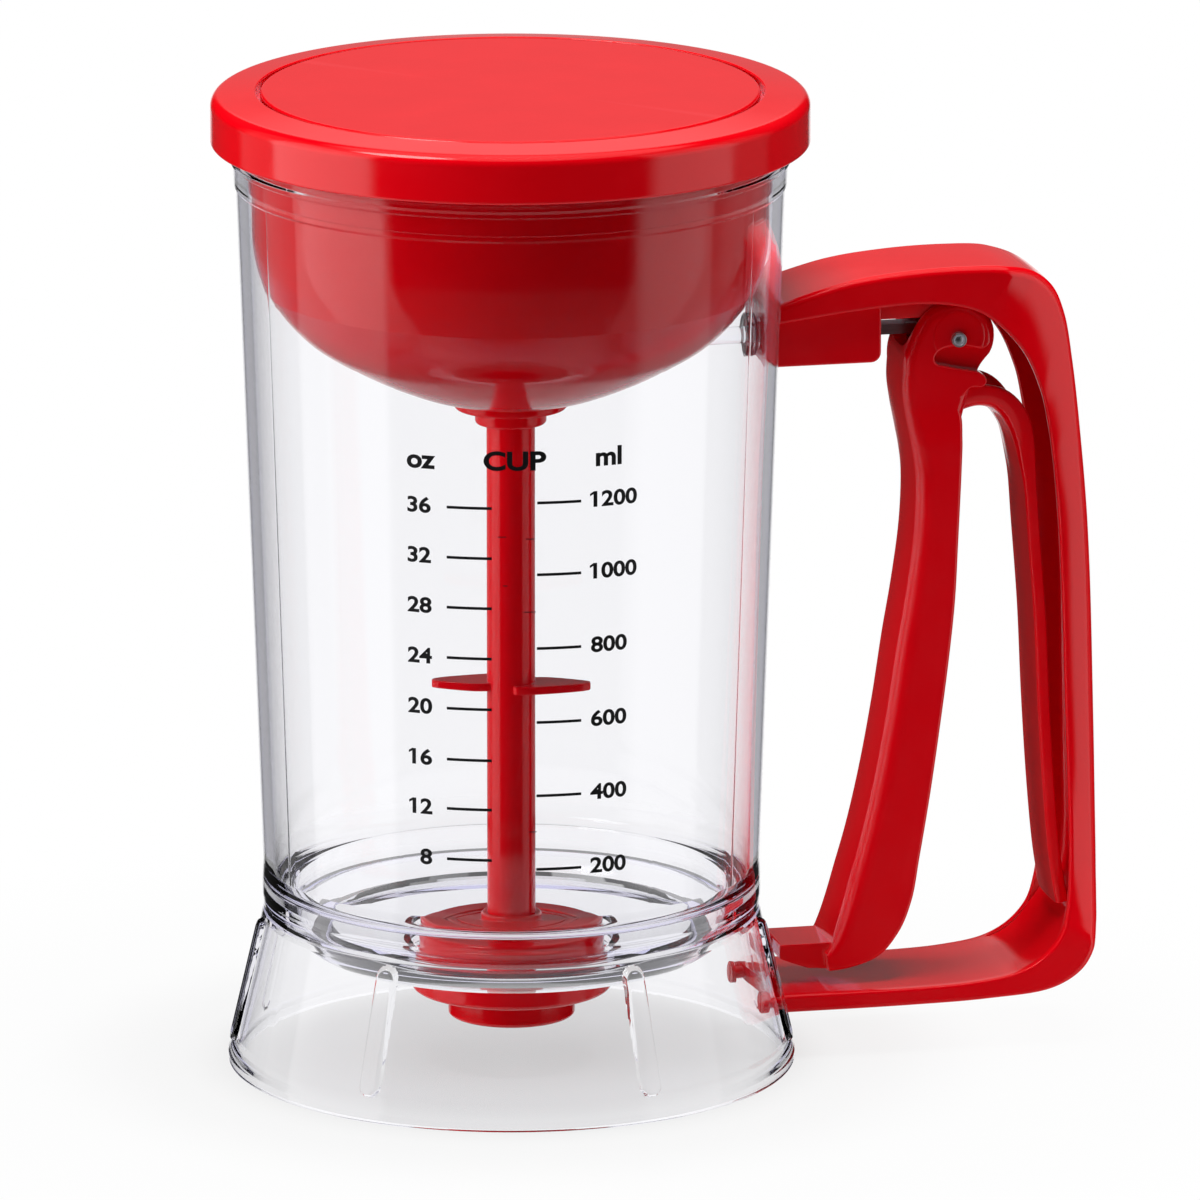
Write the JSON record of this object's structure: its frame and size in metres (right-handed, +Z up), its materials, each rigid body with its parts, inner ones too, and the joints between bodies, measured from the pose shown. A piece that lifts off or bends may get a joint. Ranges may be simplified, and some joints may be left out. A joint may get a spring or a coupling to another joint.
{
  "type": "batter dispenser",
  "caption": "Clear measuring jar on a flared foot with a lift-out funnel and valve stem, a lift-off cap, and a side handle whose trigger opens the valve in the jar's floor.",
  "frame": {"origin": "on the jar's axis, at the centre of the foot ring's bottom face, in the plane the dispenser stands on", "axes": "+Z up along the jar's axis, +X towards the handle; the jar's printed front faces -Y, turned 12.5 degrees towards -X"},
  "size_m": [0.2095, 0.14, 0.234],
  "materials": {
    "clear_plastic": "clear, polished",
    "red_plastic": "high gloss",
    "steel": "bright, lightly brushed",
    "rubber_seal": "matte",
    "clear_seal": "translucent, satin"
  },
  "bodies": {
    "jar": {"container": "clear_plastic", "seat_ring": "red_plastic", "outlet_gasket": "rubber_seal", "nozzle_nut": "red_plastic", "spout": "red_plastic", "handle_frame": "red_plastic", "rod_housing": "red_plastic", "housing_screws": "steel", "port_bushing": "clear_plastic", "port_seal": "clear_seal", "lower_screws": "steel", "pivot_pin": "steel", "pin_clip": "steel"},
    "trigger": {"trigger": "red_plastic", "link_pin": "steel", "return_leaf": "red_plastic"},
    "rod": {"push_rod": "steel", "plunger": "clear_plastic"},
    "cartridge": {"funnel": "red_plastic", "stem_bushing": "red_plastic", "bushing_nut": "red_plastic", "stem_seal": "rubber_seal", "crank_bracket": "red_plastic", "crank_pin": "steel", "crank_spring": "steel"},
    "input": {"input_pin": "steel"},
    "crank": {"bell_crank": "red_plastic"},
    "valve_stem": {"stem": "red_plastic", "lift_collar": "red_plastic", "stem_nut": "steel", "stem_wings": "red_plastic", "valve_plug": "red_plastic", "plug_seal": "rubber_seal"},
    "cap": {"lid_rim": "red_plastic", "lid_disc": "red_plastic", "lid_gasket": "rubber_seal"}
  },
  "joints": [
    {"name": "trigger_squeeze", "type": "hinge", "parent": "jar", "child": "trigger", "pos_m": [0.1053, 0, 0.1712], "axis": [0, -1, 0], "range_deg": [0, 8], "stiffness_Nm_per_rad": 1.2, "springref_deg": -20.05, "deforming": ["return_leaf"]},
    {"name": "rod_push", "type": "slide", "parent": "jar", "child": "rod", "axis": [-1, 0, 0], "range_m": [0, 0.0012]},
    {"name": "funnel_lift", "type": "slide", "parent": "jar", "child": "cartridge", "axis": [0, 0, 1], "range_m": [0, 0.21]},
    {"name": "input_push", "type": "slide", "parent": "cartridge", "child": "input", "axis": [-1, 0, 0], "range_m": [0, 0.0012]},
    {"name": "crank_turn", "type": "hinge", "parent": "cartridge", "child": "crank", "pos_m": [0.033, 0, 0.179], "axis": [0, 1, 0], "range_deg": [0, 10]},
    {"name": "stem_lift", "type": "slide", "parent": "cartridge", "child": "valve_stem", "axis": [0, 0, 1], "range_m": [0, 0.006]},
    {"name": "cap_lift", "type": "slide", "parent": "cartridge", "child": "cap", "axis": [0, 0, 1], "range_m": [0, 0.05]}
  ],
  "couplings": [
    {"joint": "rod_push", "follows": "trigger_squeeze", "m_per_rad": 0.008},
    {"joint": "input_push", "follows": "trigger_squeeze", "m_per_rad": 0.008},
    {"joint": "crank_turn", "follows": "trigger_squeeze", "ratio": 1.2308},
    {"joint": "stem_lift", "follows": "trigger_squeeze", "m_per_rad": 0.040615}
  ]
}
